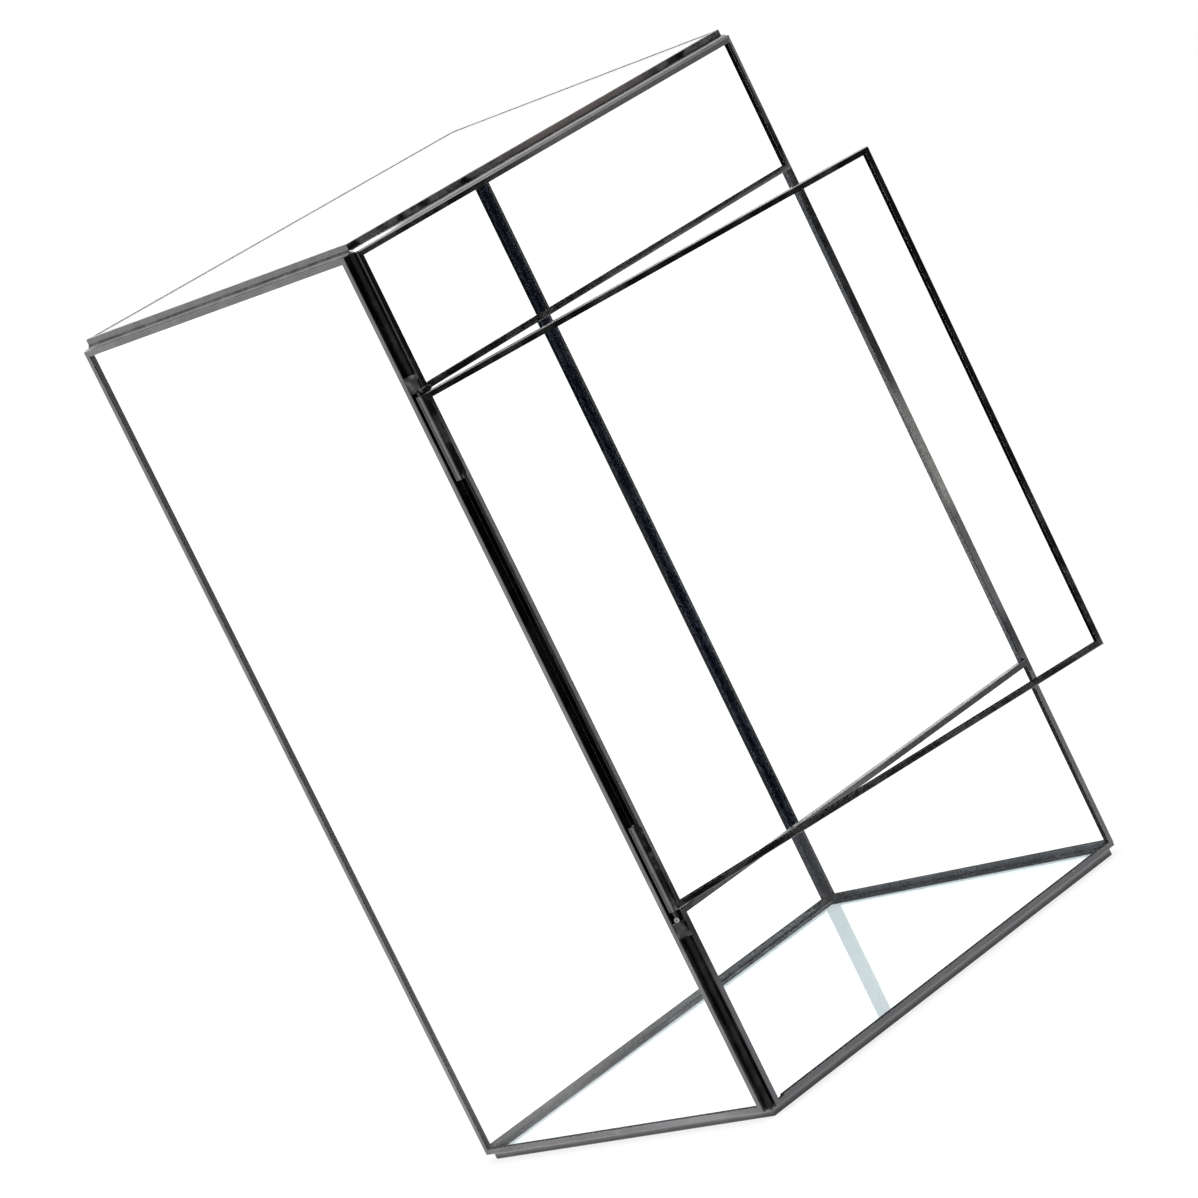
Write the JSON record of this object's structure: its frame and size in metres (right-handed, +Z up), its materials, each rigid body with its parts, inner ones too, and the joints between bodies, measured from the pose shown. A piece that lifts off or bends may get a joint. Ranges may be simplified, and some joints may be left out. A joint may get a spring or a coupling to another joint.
{
  "type": "glass terrarium",
  "caption": "Tall clear glass box with dark metal edging, a fixed pane above and below at the front, and a hinged glass door between them, for plants or display.",
  "frame": {"origin": "middle of the footprint on the surface it stands on, the footprint of the ajar door included", "axes": "+Z up, the door faces -Y and hangs on the front left (-X) corner"},
  "size_m": [0.1824, 0.1884, 0.3],
  "materials": {
    "glass": "clear, polished",
    "edging": "black patina on tinned copper foil, semi-gloss, slightly uneven",
    "solder": "dark grey patina on solder, semi-matte, lumpy",
    "tube": "black patina on tinned tube, semi-gloss",
    "wire": "bare cut wire"
  },
  "bodies": {
    "box": {"left_glass": "glass", "left_edge_bottom": "edging", "left_edge_front": "edging", "left_edge_top": "edging", "left_edge_rear": "edging", "right_glass": "glass", "right_edge_bottom": "edging", "right_edge_rear": "edging", "right_edge_top": "edging", "right_edge_front": "edging", "rear_glass": "glass", "rear_edge_bottom": "edging", "rear_edge_left": "edging", "rear_edge_top": "edging", "rear_edge_right": "edging", "front_lower_glass": "glass", "front_lower_edge_bottom": "edging", "front_lower_edge_right": "edging", "front_lower_edge_top": "edging", "front_lower_edge_left": "edging", "front_upper_glass": "glass", "front_upper_edge_bottom": "edging", "front_upper_edge_right": "edging", "front_upper_edge_top": "edging", "front_upper_edge_left": "edging", "roof_glass": "glass", "roof_edge_front": "edging", "roof_edge_right": "edging", "roof_edge_rear": "edging", "roof_edge_left": "edging", "floor_glass": "glass", "floor_edge_rear": "edging", "floor_edge_right": "edging", "floor_edge_front": "edging", "floor_edge_left": "edging", "seam_top_front": "solder", "seam_top_rear": "solder", "seam_top_left": "solder", "seam_top_right": "solder", "seam_bottom_front": "solder", "seam_bottom_rear": "solder", "seam_bottom_left": "solder", "seam_bottom_right": "solder", "seam_rear_left": "solder", "seam_rear_right": "solder", "seam_front_right_lower": "solder", "seam_front_right_upper": "solder", "seam_front_left_lower": "solder", "seam_front_left_upper": "solder", "hinge_anchor_upper": "solder", "hinge_anchor_lower": "solder", "hinge_wire_upper": "wire", "hinge_wire_lower": "wire"},
    "door": {"door_glass": "glass", "door_edge_bottom": "edging", "door_edge_free": "edging", "door_edge_top": "edging", "door_edge_hinge": "edging", "hinge_tube_upper": "tube", "hinge_tube_lower": "tube"}
  },
  "joints": [
    {"name": "door_hinge", "type": "hinge", "parent": "box", "child": "door", "pos_m": [-0.0896, -0.05094, 0.16105], "axis": [0, 0, -1], "range_deg": [-13.7, 166.3]}
  ]
}
